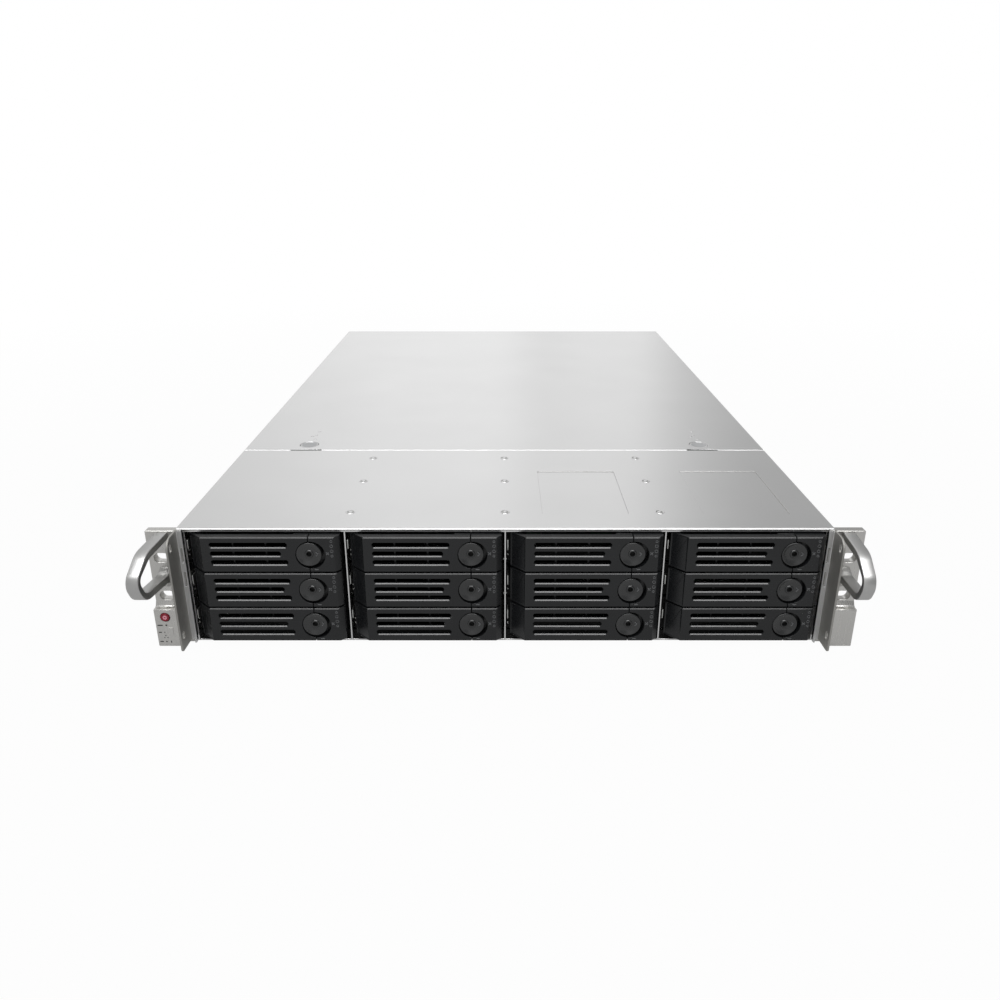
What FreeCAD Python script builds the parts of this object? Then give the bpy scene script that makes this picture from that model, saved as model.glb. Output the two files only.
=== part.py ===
import FreeCAD, Part
import math
import os

# A two-unit rack storage expansion unit: twelve hot-swap trays in four columns and three rows.
# Millimetres. X to the right, Y to the rear from the front edge of the chassis, Z up from its floor.

V = FreeCAD.Vector

# Bays
COLUMNS = 4
ROWS = 3
COLUMN_PITCH = 108.0
ROW_PITCH = 26.65
ROW_BASE = 6.0            # underside of the lowest tray front
TOP_MARGIN = 2.05         # from the top of the bays to the top of the unit
BAY_DEPTH = 164.5         # front edge to the joint between the covers
REAR_DEPTH = 538.5        # from that joint to the rear panel

# Sheet metal, clearances and the flats of many-sided round faces
CHORD = 0.15              # how far such a face departs from its circle
SHEET = 1.2
CAGE_SHEET = 1.0
SEAT_GAP = 0.3            # between pieces that slide or drop into place
CAGE_SIDE_GAP = 0.8       # between the cage and the side walls
PIN_CLEAR = 0.06          # radial, round a hinge pin or a fan shaft
FLOOR_SETBACK = 3.5       # front edge of the floor behind that of the side walls
LIP_DROP = 12.0           # side lips of the covers
JOINT_GAP = 0.5           # between the covers
HEM_DROP = 1.4
HEM_DEPTH = 1.5

# Front cover
RIVET_R = 3.4
RIVET_HEAD = 0.3
RIVET_Y = (28.6, 90.3, 144.4)
RECESS_X = (56.0, 168.0)
RECESS_Y = 25.0
RECESS_WIDTH = 60.0
RECESS_LENGTH = 87.0
RECESS_SINK = 0.4
RECESS_CORNER = 1.0

# Rear cover and its latches
LATCH_X = 168.0
LATCH_SETBACK = 15.5      # behind the joint
LATCH_R = 7.8
LATCH_HEIGHT = 6.0
LATCH_SINK = 0.2
LATCH_RIM = 1.4
LATCH_DISH = 1.0
LATCH_DISH_R = 3.8        # floor of the thumb dish
LATCH_TRAVEL = 2.0
NOTCH_WIDTH = 26.0
NOTCH_DEPTH = 2.6
CUP_WALL = 1.2

# Drive cage and backplane
CAGE_FRONT = 2.0
CAGE_FLANGE = 6.0
CAGE_FLOOR_FRONT = 14.0
LEDGE_WIDTH = 2.1
LEDGE_THICK = 1.0
LEDGE_GAP = 0.2
BACKPLANE_SETBACK = 2.0   # front of the backplane behind the joint
BOARD_THICK = 2.0
SOCKET_WIDTH = 43.0
SOCKET_DEPTH = 7.0
SOCKET_HEIGHT = 6.0
SOCKET_RISE = 4.0
VENT_MARGIN = 12.0
VENT_HEIGHT = 8.0

# Tray
FRONT_HEIGHT = 25.3
FRONT_Y = -7.0            # face of the tray fronts
FRONT_SIDE = 2.5          # from the column's edge to the tray front
RAIL_SIDE = 1.1
RAIL_THICK = 1.8
RAIL_HEIGHT = 18.6
TRAY_BACK_GAP = 1.5       # behind the tray, to the drive socket
FRAME_Y = 10.0            # wall that joins the rails
FRAME_THICK = 2.0
CROSSBAR_WIDTH = 8.0
CROSSBAR_THICK = 0.5
FRAME_SILL = 8.0
FRAME_HEAD = 2.0
BEZEL_WALL = 2.0
BEZEL_FACET = 3.5         # slanted right end of the fixed bezel
TOP_BEVEL = 1.0           # along the upper front edge
SEAT_PLATE_Y = -0.6
SEAT_PLATE_THICK = 2.0

# Tray lever, hinged on a vertical pin behind its slanted left end
LEVER_LEFT = 3.5
FACET = 10.0              # run and depth of the slanted end
FACET_WALL = 1.8
LEVER_DEPTH = 5.8
LEVER_WALL = 2.2
LEVER_RIM = 1.6
SEAM_SIDE = 23.0          # from the lever's free end to the column's right edge
SEAM_GAP = 0.5
HINGE_U = 9.5
HINGE_Y = 4.0
KNUCKLE_R = 2.4
PIN_R = 1.0
LUG_THICK = 2.0
LUG_INSET = 0.6
LUG_SIDE = 1.5            # lug to the left of the pin
SLOT_LEFT = 19.2
SLOT_LONG = 51.8
SLOT_SHORT = 47.4
SLOT_HEIGHT = 3.6
SLOT_CORNER = 1.1
SLOT_PITCH = 6.35
SLOT_RISE = 0.6
RIB_U = (34.0, 56.0)
RIB_WIDTH = 1.4
RIB_DEPTH = 1.4

# Release button and the round well about it
BUTTON_R = 8.5
BUTTON_THICK = 3.5
BUTTON_RIM = 0.7
BUTTON_DISH = 1.1
BUTTON_BOSS_R = 2.3
KEY_R = 1.5
KEY_DEPTH = 1.2
STEM = 5.0
STEM_LENGTH = 6.0
WELL_R = 10.0
WELL_OUT = 1.1            # well centre to the right of the button
WELL_DOWN = 0.5

# Ears, handles and brackets
EAR_REACH = 21.3          # beyond the body on each side
EAR_THICK = 6.5
EAR_BOTTOM = 1.0
EAR_TOP_DROP = 1.8
EAR_CORNER = 2.0
EAR_TOP_CORNER = 1.0
EAR_FLANGE = 2.0
EAR_FLANGE_LENGTH = 45.0
RACK_HOLE_INSET = 8.75    # from the ear's outer edge
RACK_HOLE_LOW = 37.7
RACK_HOLE_PITCH = 28.575
RACK_SLOT_R = 3.4
RACK_SLOT_LENGTH = 10.0
POD_SIDE = 19.3
POD_DEPTH = 6.5
POD_TOP = 30.0
POD_EDGE = 1.0
COVE = 3.5
COVE_R = 2.2
HANDLE_INSET = 7.3        # from the ear's outer edge
HANDLE_WIDTH = 8.0
HANDLE_BAND = 5.0
HANDLE_REACH = 44.5       # to the point where the nose's two sides would meet
HANDLE_TOP_DROP = 0.8
HANDLE_HEIGHT = 34.0
HANDLE_SLOPE = 3.0
HANDLE_SHOULDER = 26.7    # reach of the upper bend
HANDLE_SHOULDER_R = 17.0
HANDLE_NOSE_R = 10.2
HANDLE_HEEL = 36.5        # reach of the lower bend
HANDLE_HEEL_R = 11.9
HANDLE_FOOT = 7.0
HANDLE_LEAN = 8.0         # outward lean of the left handle, in degrees
BRACKET_OFFSET = 1.0      # outside the body
BRACKET_REACH = 19.0
BRACKET_SHEET = 1.4
BRACKET_BOTTOM = 4.0
BRACKET_TOP_DROP = 1.0
BRACKET_CORNER = 8.0
BRACKET_TOE = 2.0
BRACKET_HOLE_INSET = 5.0
BRACKET_HOLE_R = 1.7
BRACKET_HOLE_LENGTH = 6.0
BRACKET_HOLE_CORNER = 1.0
BRACKET_HOLE_LOW = 10.3
BRACKET_HOLE_PITCH = 65.5
STRIP_SLOT = 1.6
STRIP_SLOT_LENGTH = 11.0
STRIP_SLOT_Z = (45.0, 63.0)

# Power button and reset hole in the left pod
POWER_INSET = 7.3         # from the ear's outer edge
POWER_Z = 24.0
POWER_R = 3.0
POWER_LENGTH = 4.5
POWER_PROUD = 0.4
POWER_ROOM = 1.6          # behind the button
RESET_DROP = 6.2
RESET_R = 0.7
RESET_DEPTH = 3.0

# Fans
FANS = 3
FAN_PITCH = 130.0
FAN_SETBACK = 46.0        # behind the joint
FAN_SIZE = 80.0
FAN_DEPTH = 38.0
FAN_HEADROOM = 5.0
FAN_RIM = 1.5
FAN_TIP_GAP = 2.0
FAN_HUB_R = 17.0
FAN_SHAFT_R = 2.0
FAN_BLADES = 7
BLADE_ROOT = 1.0          # sunk into the hub
BLADE_THICK = 1.6
BLADE_CHORD = 24.0
BLADE_PITCH = 50.0
STRUT = 4.0

# Power supplies
PSU_WIDTH = 73.5
PSU_HEIGHT = 40.0
PSU_LENGTH = 185.0
PSU_HEADROOM = 3.2
PSU_SIDE = 6.0            # from the side wall
PSU_WALL = 1.0
PSU_PROUD = 1.0
INLET_WIDTH = 27.0
INLET_HEIGHT = 20.0
INLET_DEPTH = 14.0
PRONG_WIDTH = 2.0
PRONG_HEIGHT = 6.0
PRONG_RISE = 6.0
GRIP_REACH = 22.0
GRIP_BAND = 4.0
GRIP_WIDTH = 5.0
GRILLE_R = 16.0
GRILLE_SLOT = 3.0
GUIDE = 2.0
GUIDE_REACH = 6.0
GUIDE_LENGTH = 14.0
CATCH_WIDTH = 6.0
CATCH_HEIGHT = 12.0
CATCH_REACH = 14.0
CATCH_TAB = 2.6

# Rear panel and expander board
PANEL_VENT_PITCH = 15.0
PANEL_VENT_WIDTH = 9.0
PANEL_VENT_HEIGHT = 30.0
PANEL_VENTS = 20
PANEL_VENT_LEFT = -204.0
PANEL_VENT_Z = 46.0
PORTS = 4
PORT_PITCH = 30.0
PORT_LEFT = -120.0
PORT_WIDTH = 20.0
PORT_HEIGHT = 11.0
PORT_LENGTH = 28.0
PORT_WALL = 1.2
PORT_GAP = 0.4
BOARD_LENGTH = 190.0
BOARD_MARGIN = 25.0
STANDOFF = 6.0
STANDOFF_R = 3.0
SINK_SIZE = 42.0
SINK_HEIGHT = 16.0
SINK_FINS = 7
SINK_FIN = 2.0

# Places that follow from the sizes above
bay_half = COLUMNS * COLUMN_PITCH / 2
cage_half = bay_half + CAGE_SHEET / 2
wall_in = cage_half + CAGE_SIDE_GAP
wall_out = wall_in + SHEET
lip_in = wall_out + SEAT_GAP
body_half = lip_in + SHEET
bays_high = ROW_BASE + ROWS * ROW_PITCH + TOP_MARGIN
fans_high = FAN_SIZE + FAN_HEADROOM + 2 * (SHEET + SEAT_GAP)
psu_step = PSU_HEIGHT + SHEET + 2 * SEAT_GAP
psu_floor = (SHEET + SEAT_GAP, SHEET + SEAT_GAP + psu_step)
supplies_high = psu_floor[1] + PSU_HEIGHT + PSU_HEADROOM + SEAT_GAP + SHEET
height = max(bays_high, fans_high, supplies_high)
cover_under = height - SHEET
rest_top = cover_under - SEAT_GAP
depth = BAY_DEPTH + REAR_DEPTH
cage_back = BAY_DEPTH + BACKPLANE_SETBACK
tray_end = cage_back - SOCKET_DEPTH - TRAY_BACK_GAP
ear_out = body_half + EAR_REACH
ear_top = height - EAR_TOP_DROP
rack_x = ear_out - RACK_HOLE_INSET
rack_z = (RACK_HOLE_LOW, RACK_HOLE_LOW + RACK_HOLE_PITCH)
fan_front = BAY_DEPTH + FAN_SETBACK
fan_back = fan_front + FAN_DEPTH
fan_z = SHEET + FAN_SIZE / 2 + SEAT_GAP
fan_bore_r = FAN_SIZE / 2 - FAN_RIM
psu_right = wall_in - PSU_SIDE
psu_left = psu_right - PSU_WIDTH
psu_face = depth + PSU_PROUD
shelf_z = psu_floor[0] + PSU_HEIGHT + SEAT_GAP
seam_u = COLUMN_PITCH - SEAM_SIDE
front_back = FRONT_Y + LEVER_DEPTH
mid_w = FRONT_HEIGHT / 2


def box(x0, x1, y0, y1, z0, z1):
    return Part.makeBox(x1 - x0, y1 - y0, z1 - z0, V(x0, y0, z0))


def rod(radius, start, end):
    return Part.makeCylinder(radius, (end - start).Length, start, end - start)


def outline(corners):
    """Closed flat face through (a, b, radius) corners, each rounded by a tangent arc."""
    turns = []
    for i, (a, b, radius) in enumerate(corners):
        here = V(a, b, 0)
        back = (V(*corners[i - 1][:2], 0) - here).normalize()
        ahead = (V(*corners[(i + 1) % len(corners)][:2], 0) - here).normalize()
        half = back.getAngle(ahead) / 2
        setback = radius / math.tan(half)
        inward = (back + ahead).normalize()
        turns.append((here + back * setback, here + inward * (radius / math.sin(half) - radius),
                      here + ahead * setback, radius))
    edges = []
    for i, (start, middle, end, radius) in enumerate(turns):
        if radius > 0:
            edges.append(Part.Arc(start, middle, end).toShape())
        following = turns[(i + 1) % len(turns)][0]
        if (following - end).Length > 1e-6:
            edges.append(Part.LineSegment(end, following).toShape())
    return Part.Face(Part.Wire(edges))


def along_z(corners, z0, z1):
    """Solid with an (x, y) outline between two heights."""
    solid = outline(corners).extrude(V(0, 0, z1 - z0))
    solid.translate(V(0, 0, z0))
    return solid


def along_x(corners, x0, x1):
    """Solid with a (y, z) outline between two x places."""
    solid = outline(corners).extrude(V(0, 0, x1 - x0))
    solid.Placement = FreeCAD.Placement(V(x0, 0, 0), FreeCAD.Rotation(V(1, 1, 1), 120))
    return solid


def along_y(corners, y0, y1):
    """Solid with an (x, z) outline between two y places."""
    solid = outline(corners).extrude(V(0, 0, y1 - y0))
    solid.Placement = FreeCAD.Placement(V(0, y1, 0), FreeCAD.Rotation(V(1, 0, 0), 90))
    return solid


def rectangle(a0, a1, b0, b1, radius=0.0):
    return [(a0, b0, radius), (a1, b0, radius), (a1, b1, radius), (a0, b1, radius)]


def cut_corners(a0, a1, b0, b1, cut):
    """Corners of a rectangle that has lost its own at 45 degrees."""
    return [(a0 + cut, b0, 0.0), (a1 - cut, b0, 0.0), (a1, b0 + cut, 0.0), (a1, b1 - cut, 0.0),
            (a1 - cut, b1, 0.0), (a0 + cut, b1, 0.0), (a0, b1 - cut, 0.0), (a0, b0 + cut, 0.0)]


def regular(a, b, radius, sides):
    turn = 2 * math.pi / sides
    return [(a + radius * math.cos(i * turn), b + radius * math.sin(i * turn), 0.0) for i in range(sides)]


def sides_of(radius):
    """Sides that keep a polygon within CHORD of its circle, in fours."""
    return 4 * math.ceil(math.pi / 4 * math.sqrt(radius / (2 * CHORD)))


def ring(a, b, radius):
    """Corners of a many-sided round outline."""
    return regular(a, b, radius, sides_of(radius))


def round_hole(a, b, radius):
    """Corners of a many-sided hole whose flats touch a shaft of the given radius."""
    sides = sides_of(radius)
    return regular(a, b, radius / math.cos(math.pi / sides), sides)


def tapered(sides, z0, radius0, z1, radius1):
    """Many-sided frustum about the Z axis, from flat faces."""
    low, high = [[V(a, b, z) for a, b, _ in regular(0, 0, radius, sides)]
                 for z, radius in ((z0, radius0), (z1, radius1))]
    flats = [low, high] + [[low[i - 1], low[i], high[i], high[i - 1]] for i in range(sides)]
    return Part.Solid(Part.Shell([Part.Face(Part.makePolygon(flat + flat[:1])) for flat in flats]))


def mirrored(shape):
    return shape.mirror(V(0, 0, 0), V(1, 0, 0))


def both_sides(shape):
    return shape.fuse(mirrored(shape))


def join(shapes):
    return shapes[0].multiFuse(shapes[1:]).removeSplitter()


def save(name, shape):
    shape.exportStep(os.path.join("parts", name + ".step"))


def column_left(column):
    return -bay_half + column * COLUMN_PITCH


def row_bottom(row):
    """Underside of a tray front, rows counted from the top."""
    return ROW_BASE + (ROWS - 1 - row) * ROW_PITCH


def divider_places():
    return [column_left(column) for column in range(1, COLUMNS)]


# Chassis
def chassis_base():
    floor = box(-wall_out, wall_out, FLOOR_SETBACK, depth, 0, SHEET)
    wall = box(wall_in, wall_out, 0, depth, 0, rest_top)
    return join([floor, wall, mirrored(wall)])


def cover_lips(y0, y1):
    return both_sides(box(lip_in, body_half, y0, y1, height - LIP_DROP, height))


def front_cover():
    back = BAY_DEPTH - JOINT_GAP / 2
    plate = box(-body_half, body_half, 0, back, cover_under, height)
    hem = box(-bay_half, bay_half, 0, HEM_DEPTH, cover_under - HEM_DROP, height)
    cover = join([plate, hem, cover_lips(EAR_THICK + SHEET, back)])
    for x in RECESS_X:
        corners = cut_corners(x - RECESS_WIDTH / 2, x + RECESS_WIDTH / 2, RECESS_Y, RECESS_Y + RECESS_LENGTH,
                              RECESS_CORNER)
        cover = cover.cut(along_z(corners, height - RECESS_SINK, height))
    return cover


def rear_cover():
    front = BAY_DEPTH + JOINT_GAP / 2
    latch_y = BAY_DEPTH + LATCH_SETBACK
    cup_floor = height - LATCH_HEIGHT - LATCH_SINK - LATCH_TRAVEL - 2 * SEAT_GAP
    bore = LATCH_R + SEAT_GAP
    cover = join([box(-body_half, body_half, front, depth, cover_under, height), cover_lips(front, depth)])
    for x in (-LATCH_X, LATCH_X):
        cup = along_z(ring(x, latch_y, bore + CUP_WALL), cup_floor - CUP_WALL, height)
        well = along_z(ring(x, latch_y, bore), cup_floor, height)
        notch = box(x - NOTCH_WIDTH / 2, x + NOTCH_WIDTH / 2, front, front + NOTCH_DEPTH, cover_under, height)
        cover = cover.fuse(cup).cut(well).cut(notch)
    return cover


def cover_latch(x):
    """Push button of a cover latch, with a shallow thumb dish."""
    y = BAY_DEPTH + LATCH_SETBACK
    top = height - LATCH_SINK
    button = along_z(ring(x, y, LATCH_R), top - LATCH_HEIGHT, top)
    dish = tapered(sides_of(LATCH_R), top - LATCH_DISH, LATCH_DISH_R, top, LATCH_R - LATCH_RIM)
    return button.cut(dish.translated(V(x, y, 0)))


def drive_cage():
    """Floor and upright sheets at the sides of the columns, with the ledges that the trays run on."""
    half = CAGE_SHEET / 2
    ledge = half + LEDGE_WIDTH
    sheets = [box(-cage_half, cage_half, CAGE_FLOOR_FRONT, cage_back, SHEET, SHEET + CAGE_SHEET)]
    for x in [-bay_half, bay_half] + divider_places():
        sheets.append(box(x - half, x + half, CAGE_FRONT, cage_back, SHEET, rest_top))
    for x in divider_places():
        sheets.append(box(x - CAGE_FLANGE / 2, x + CAGE_FLANGE / 2, CAGE_FLOOR_FRONT, BAY_DEPTH - CAGE_SHEET,
                          cover_under - CAGE_SHEET, cover_under))
    for column in range(COLUMNS):
        left = column_left(column)
        for row in range(ROWS):
            top = row_bottom(row)
            for edge in (left, left + COLUMN_PITCH - ledge):
                sheets.append(box(edge, edge + ledge, CAGE_FLOOR_FRONT, cage_back, top - LEDGE_THICK, top))
    return join(sheets)


def backplane():
    """Board across the rear of the cage, open between the rows, with one drive socket per bay."""
    board = box(-bay_half, bay_half, cage_back, cage_back + BOARD_THICK, SHEET + CAGE_SHEET, rest_top)
    pieces = [board]
    windows = []
    for column in range(COLUMNS):
        left = column_left(column)
        middle = left + COLUMN_PITCH / 2
        for row in range(ROWS):
            low = row_bottom(row) + SOCKET_RISE
            pieces.append(box(middle - SOCKET_WIDTH / 2, middle + SOCKET_WIDTH / 2, cage_back - SOCKET_DEPTH,
                              cage_back, low, low + SOCKET_HEIGHT))
            windows.append(box(left + VENT_MARGIN, left + COLUMN_PITCH - VENT_MARGIN, cage_back,
                               cage_back + BOARD_THICK, low + SOCKET_HEIGHT + SEAT_GAP,
                               low + SOCKET_HEIGHT + SEAT_GAP + VENT_HEIGHT))
    return join(pieces).cut(Part.makeCompound(windows))


# Tray fronts are drawn in a bay's own place: u from the column's left edge, w from the front's underside
def well_place():
    """Centre of the round well, to the right of the button and below it."""
    return seam_u + WELL_OUT, mid_w - WELL_DOWN


def top_bevel(u0, u1):
    """What the bevel along the upper front edge takes off."""
    return along_x([(FRONT_Y, FRONT_HEIGHT - TOP_BEVEL, 0), (FRONT_Y + TOP_BEVEL, FRONT_HEIGHT, 0),
                    (FRONT_Y, FRONT_HEIGHT, 0)], u0, u1)


def tray_bezel():
    """Fixed right end of a tray front, hollow behind, with the plate that the button's stem runs through."""
    left = seam_u + SEAM_GAP / 2
    right = COLUMN_PITCH - FRONT_SIDE
    seat_back = SEAT_PLATE_Y + SEAT_PLATE_THICK
    block = along_z([(left, FRONT_Y, 0), (right - BEZEL_FACET, FRONT_Y, 0), (right, FRONT_Y + BEZEL_FACET, 0),
                     (right, FRAME_Y, 0), (left, FRAME_Y, 0)], 0, FRONT_HEIGHT)
    hollow = box(left + BEZEL_WALL, right - BEZEL_WALL, seat_back, FRAME_Y, BEZEL_WALL,
                 FRONT_HEIGHT - BEZEL_WALL)
    well_u, well_w = well_place()
    seat = box(well_u - WELL_R - BEZEL_WALL, left, SEAT_PLATE_Y, seat_back, LEDGE_GAP,
               FRONT_HEIGHT - LEDGE_GAP)
    well = along_y(ring(well_u, well_w, WELL_R), FRONT_Y, SEAT_PLATE_Y)
    half = STEM / 2 + SEAT_GAP
    stem_hole = box(seam_u - half, seam_u + half, SEAT_PLATE_Y, FRAME_Y, mid_w - half, mid_w + half)
    bezel = block.cut(hollow).cut(top_bevel(left, right)).fuse(seat)
    return bezel.cut(well).cut(stem_hole)


def drive_tray():
    """Bezel, the frame behind the lever with its hinge lugs and pin, and two rails on thin crossbars."""
    frame_back = FRAME_Y + FRAME_THICK
    low = LEDGE_GAP
    high = FRONT_HEIGHT - LEDGE_GAP
    right = COLUMN_PITCH - RAIL_SIDE
    frame = box(RAIL_SIDE, right, FRAME_Y, frame_back, low, high)
    window = box(HINGE_U + 2 * KNUCKLE_R, seam_u - WELL_R - BEZEL_WALL, FRAME_Y, frame_back, low + FRAME_SILL,
                 high - FRAME_HEAD)
    pieces = [tray_bezel(), frame.cut(window)]
    for edge in (RAIL_SIDE, right - RAIL_THICK):
        pieces.append(box(edge, edge + RAIL_THICK, frame_back, tray_end, low, low + RAIL_HEIGHT))
    for end in (tray_end, (tray_end + frame_back) / 2):
        pieces.append(box(RAIL_SIDE, right, end - CROSSBAR_WIDTH, end, low, low + CROSSBAR_THICK))
    lug = [(HINGE_U - LUG_SIDE, frame_back, 0), (HINGE_U - LUG_SIDE, HINGE_Y - LUG_SIDE, 0),
           (HINGE_U, HINGE_Y - KNUCKLE_R, 0), (HINGE_U + KNUCKLE_R, HINGE_Y - KNUCKLE_R, 0),
           (HINGE_U + KNUCKLE_R, frame_back, 0)]
    for foot in (LUG_INSET, FRONT_HEIGHT - LUG_INSET - LUG_THICK):
        pieces.append(along_z(lug, foot, foot + LUG_THICK))
    pieces.append(rod(PIN_R, V(HINGE_U, HINGE_Y, LUG_INSET), V(HINGE_U, HINGE_Y, FRONT_HEIGHT - LUG_INSET)))
    return join(pieces)


def tray_lever():
    """Hollow-backed bar with a slanted hinge end, vent slots over ribs, and its half of the button's well."""
    facet_y = FRONT_Y + FACET
    slant = FACET_WALL / math.sqrt(2)
    free_end = seam_u - SEAM_GAP / 2
    inner_u = LEVER_LEFT + 2 * slant + facet_y - front_back
    bar = along_z([(LEVER_LEFT, facet_y, 0), (LEVER_LEFT + FACET, FRONT_Y, 0), (free_end, FRONT_Y, 0),
                   (free_end, front_back, 0), (inner_u, front_back, 0),
                   (LEVER_LEFT + slant, facet_y + slant, 0)], 0, FRONT_HEIGHT)
    low = LUG_INSET + LUG_THICK + SEAT_GAP
    high = FRONT_HEIGHT - low
    knuckle = along_z([(HINGE_U - LUG_SIDE, front_back, 0), (HINGE_U + KNUCKLE_R, front_back, 0),
                       (HINGE_U + KNUCKLE_R, HINGE_Y + KNUCKLE_R, 0),
                       (HINGE_U - KNUCKLE_R, HINGE_Y + KNUCKLE_R, 0),
                       (HINGE_U - KNUCKLE_R, HINGE_Y - LUG_SIDE, 0)], low, high)
    well_u, well_w = well_place()
    wall_back = FRONT_Y + LEVER_WALL
    cuts = [top_bevel(LEVER_LEFT + FACET, free_end)]
    cuts.append(box(LEVER_LEFT + FACET + LEVER_RIM, well_u - WELL_R - LEVER_RIM, wall_back, front_back,
                    LEVER_RIM, FRONT_HEIGHT - LEVER_RIM))
    for step, length in ((-1, SLOT_LONG), (0, SLOT_SHORT), (1, SLOT_LONG)):
        middle = mid_w + SLOT_RISE + step * SLOT_PITCH
        cuts.append(along_y(cut_corners(SLOT_LEFT, SLOT_LEFT + length, middle - SLOT_HEIGHT / 2,
                                        middle + SLOT_HEIGHT / 2, SLOT_CORNER), FRONT_Y, wall_back))
    cuts.append(along_y(ring(well_u, well_w, WELL_R), FRONT_Y, front_back))
    ribs = [box(u - RIB_WIDTH / 2, u + RIB_WIDTH / 2, wall_back, wall_back + RIB_DEPTH,
                LEVER_RIM, FRONT_HEIGHT - LEVER_RIM) for u in RIB_U]
    bore = along_z(round_hole(HINGE_U, HINGE_Y, PIN_R + PIN_CLEAR), low, high)
    return join([bar.cut(Part.makeCompound(cuts)), knuckle] + ribs).cut(bore)


def release_button():
    """Dished disc with a hexagonal key socket, on a square stem."""
    back = FRONT_Y + BUTTON_THICK
    floor = FRONT_Y + BUTTON_DISH
    disc = along_y(ring(seam_u, mid_w, BUTTON_R), FRONT_Y, back)
    dish = tapered(sides_of(BUTTON_R), FRONT_Y, BUTTON_R - BUTTON_RIM, floor, BUTTON_BOSS_R)
    dish.rotate(V(0, 0, 0), V(1, 0, 0), -90)
    dish.translate(V(seam_u, 0, mid_w))
    half = STEM / 2
    stem = box(seam_u - half, seam_u + half, back, back + STEM_LENGTH, mid_w - half, mid_w + half)
    socket = along_y(regular(seam_u, mid_w, KEY_R, 6), floor, floor + KEY_DEPTH)
    return join([disc.cut(dish), stem]).cut(socket)


# Ears, handles and brackets are drawn on the right side and mirrored for the left
def ear():
    plate = along_y([(wall_out, EAR_BOTTOM, 0), (ear_out, EAR_BOTTOM, EAR_CORNER),
                     (ear_out, ear_top, EAR_TOP_CORNER), (wall_out, ear_top, 0)], 0, EAR_THICK)
    flange = box(wall_out, wall_out + EAR_FLANGE, EAR_THICK, EAR_FLANGE_LENGTH, BRACKET_BOTTOM,
                 height - LIP_DROP - SHEET)
    pod = along_x([(0, EAR_BOTTOM, 0), (-POD_DEPTH, EAR_BOTTOM, POD_EDGE), (-POD_DEPTH, POD_TOP, 0),
                   (-COVE_R, POD_TOP, COVE_R), (0, POD_TOP + COVE, 0)], ear_out - POD_SIDE, ear_out)
    solid = join([plate, flange, pod])
    half = RACK_SLOT_LENGTH / 2
    for z in rack_z:
        solid = solid.cut(along_y(rectangle(rack_x - half, rack_x + half, z - RACK_SLOT_R, z + RACK_SLOT_R,
                                            RACK_SLOT_R), 0, EAR_THICK))
    return solid


def left_ear():
    """The left pod holds the power button in a blind bore and has a reset hole below it."""
    x = -(ear_out - POWER_INSET)
    bore_end = POWER_LENGTH + POWER_ROOM - POD_DEPTH - POWER_PROUD
    bore = along_y(ring(x, POWER_Z, POWER_R + SEAT_GAP), -POD_DEPTH, bore_end)
    reset = along_y(ring(x, POWER_Z - RESET_DROP, RESET_R), -POD_DEPTH, RESET_DEPTH - POD_DEPTH)
    return mirrored(ear()).cut(bore).cut(reset)


def power_button():
    x = -(ear_out - POWER_INSET)
    front = -POD_DEPTH - POWER_PROUD
    return rod(POWER_R, V(x, front, POWER_Z), V(x, front + POWER_LENGTH, POWER_Z))


def handle(lean):
    """D-shaped band that leaves the ear with an outward lean and returns to it with a flared foot."""
    top = ear_top - HANDLE_TOP_DROP
    low = top - HANDLE_HEIGHT
    nose = top - HANDLE_HEIGHT / 2
    band = HANDLE_BAND
    outer = [(0, top, 0), (-HANDLE_SHOULDER, top - HANDLE_SLOPE, HANDLE_SHOULDER_R),
             (-HANDLE_REACH, nose, HANDLE_NOSE_R), (-HANDLE_HEEL, low, HANDLE_HEEL_R),
             (-HANDLE_FOOT, low, HANDLE_FOOT), (0, low - HANDLE_FOOT, 0)]
    inner = [(0, top - band, 0),
             (band / 3 - HANDLE_SHOULDER, top - HANDLE_SLOPE - band, HANDLE_SHOULDER_R - band),
             (band - HANDLE_REACH, nose, HANDLE_NOSE_R - band),
             (band / 2 - HANDLE_HEEL, low + band, HANDLE_HEEL_R - band),
             (-HANDLE_FOOT, low + band, HANDLE_FOOT), (0, low + band + HANDLE_FOOT / 2, 0)]
    right = ear_out - HANDLE_INSET
    left = right - HANDLE_WIDTH
    shift = HANDLE_REACH * math.tan(math.radians(lean))
    band = along_x(outer, left, right + shift).cut(along_x(inner, left, right + shift))
    sides = along_z([(left, 0, 0), (left + shift, -HANDLE_REACH, 0), (right + shift, -HANDLE_REACH, 0),
                     (right, 0, 0)], low - HANDLE_FOOT, top)
    return band.common(sides)


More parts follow.
